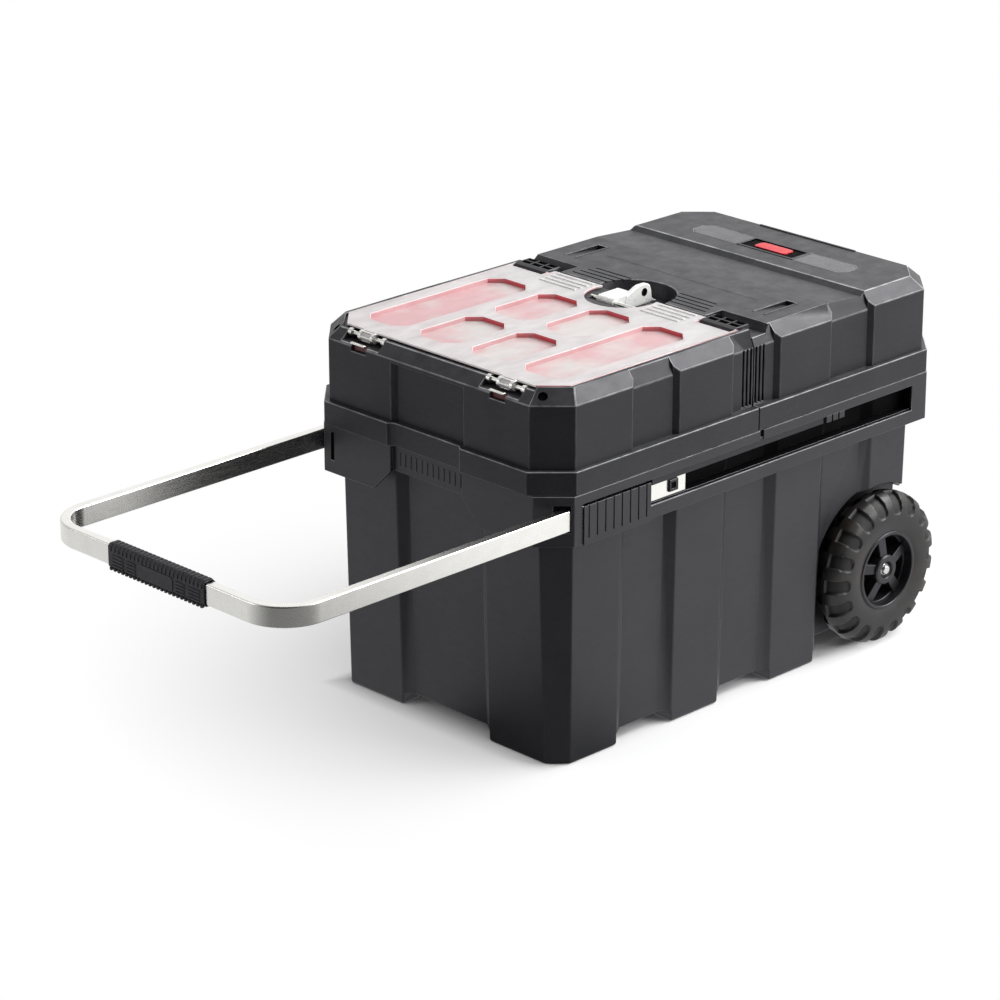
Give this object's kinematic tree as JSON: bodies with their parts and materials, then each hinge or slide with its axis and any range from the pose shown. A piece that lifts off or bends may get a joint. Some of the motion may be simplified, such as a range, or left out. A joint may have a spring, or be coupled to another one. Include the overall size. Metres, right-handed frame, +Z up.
{
  "type": "rolling jobsite storage box",
  "caption": "Rolling plastic tool box with two top halves that slide apart, a clear-lidded bin organiser, a padlock hasp, side wheels and a pull-out metal handle.",
  "frame": {"origin": "on the floor under the middle of the whole length, with the handle drawn out, on the centre plane", "axes": "+X along the length from the handle to the wheels, +Y across to the left side, +Z up"},
  "size_m": [0.9736, 0.376, 0.4206],
  "materials": {
    "charcoal_plastic": "fine moulded grain",
    "black_plastic": "satin moulded",
    "tyre": "matte",
    "zinc": "bright zinc plate",
    "steel": "plated",
    "red_plastic": "smooth",
    "clear_plastic": "clear moulded",
    "grey_plastic": "fine grain"
  },
  "bodies": {
    "tub": {"tub_shell": "charcoal_plastic", "rim_frame": "charcoal_plastic", "channel_cover_left": "charcoal_plastic", "channel_cover_right": "charcoal_plastic", "axle": "steel", "axle_cap_left": "steel", "axle_cap_right": "steel", "channel_rivets": "steel", "slide_channel_front_left": "steel", "slide_channel_front_right": "steel", "slide_channel_rear_left": "steel", "slide_channel_rear_right": "steel"},
    "wheel_left": {"wheel_hub_left": "black_plastic", "tyre_left": "tyre"},
    "wheel_right": {"wheel_hub_right": "black_plastic", "tyre_right": "tyre"},
    "handle": {"handle_bar": "zinc", "handle_grip": "black_plastic", "stop_button_left": "black_plastic", "stop_button_right": "black_plastic"},
    "front_top": {"front_shell": "charcoal_plastic", "bin_long_left": "red_plastic", "bin_long_right": "red_plastic", "bin_small_front_left": "red_plastic", "bin_small_front_right": "red_plastic", "bin_small_rear_left": "red_plastic", "bin_small_rear_right": "red_plastic", "lid_hinge_pin_left": "zinc", "lid_hinge_pin_right": "zinc", "hasp_pin": "zinc", "slide_rail_front_left": "steel", "slide_rail_front_right": "steel", "rail_rivets_front": "steel"},
    "lid": {"clear_lid": "clear_plastic", "clip_pin_left": "zinc", "clip_pin_right": "zinc"},
    "clip_left": {"lid_clip_left": "black_plastic"},
    "clip_right": {"lid_clip_right": "black_plastic"},
    "hasp": {"hasp": "zinc"},
    "rear_top": {"rear_shell": "charcoal_plastic", "deck_inlay_left": "grey_plastic", "deck_inlay_right": "grey_plastic", "badge_plate": "red_plastic", "slide_rail_rear_left": "steel", "slide_rail_rear_right": "steel", "rail_rivets_rear": "steel"},
    "front_cages": {"ball_cage_front_left": "steel", "ball_cage_front_right": "steel"},
    "rear_cages": {"ball_cage_rear_left": "steel", "ball_cage_rear_right": "steel"}
  },
  "joints": [
    {"name": "handle_slide", "type": "slide", "parent": "tub", "child": "handle", "axis": [1, 0, 0], "range_m": [0, 0.32]},
    {"name": "front_top_slide", "type": "slide", "parent": "tub", "child": "front_top", "axis": [-1, 0, 0], "range_m": [0, 0.18]},
    {"name": "rear_top_slide", "type": "slide", "parent": "tub", "child": "rear_top", "axis": [1, 0, 0], "range_m": [0, 0.18]},
    {"name": "front_cage_roll", "type": "slide", "parent": "tub", "child": "front_cages", "axis": [-1, 0, 0], "range_m": [0, 0.09]},
    {"name": "rear_cage_roll", "type": "slide", "parent": "tub", "child": "rear_cages", "axis": [1, 0, 0], "range_m": [0, 0.09]},
    {"name": "lid_hinge", "type": "hinge", "parent": "front_top", "child": "lid", "pos_m": [-0.10775, 0, 0.4075], "axis": [0, -1, 0], "range_deg": [0, 100]},
    {"name": "clip_left_hinge", "type": "hinge", "parent": "lid", "child": "clip_left", "pos_m": [0.16475, 0.1375, 0.412], "axis": [0, -1, 0], "range_deg": [0, 95]},
    {"name": "clip_right_hinge", "type": "hinge", "parent": "lid", "child": "clip_right", "pos_m": [0.16475, -0.1375, 0.412], "axis": [0, -1, 0], "range_deg": [0, 95]},
    {"name": "hasp_hinge", "type": "hinge", "parent": "front_top", "child": "hasp", "pos_m": [0.15275, 0, 0.409], "axis": [0, -1, 0], "range_deg": [0, 110]},
    {"name": "wheel_left_spin", "type": "hinge", "parent": "tub", "child": "wheel_left", "pos_m": [0.39775, 0.167, 0.087], "axis": [0, 1, 0], "continuous": true},
    {"name": "wheel_right_spin", "type": "hinge", "parent": "tub", "child": "wheel_right", "pos_m": [0.39775, -0.167, 0.087], "axis": [0, 1, 0], "continuous": true}
  ],
  "couplings": [
    {"joint": "front_cage_roll", "follows": "front_top_slide", "ratio": 0.5},
    {"joint": "rear_cage_roll", "follows": "rear_top_slide", "ratio": 0.5}
  ]
}
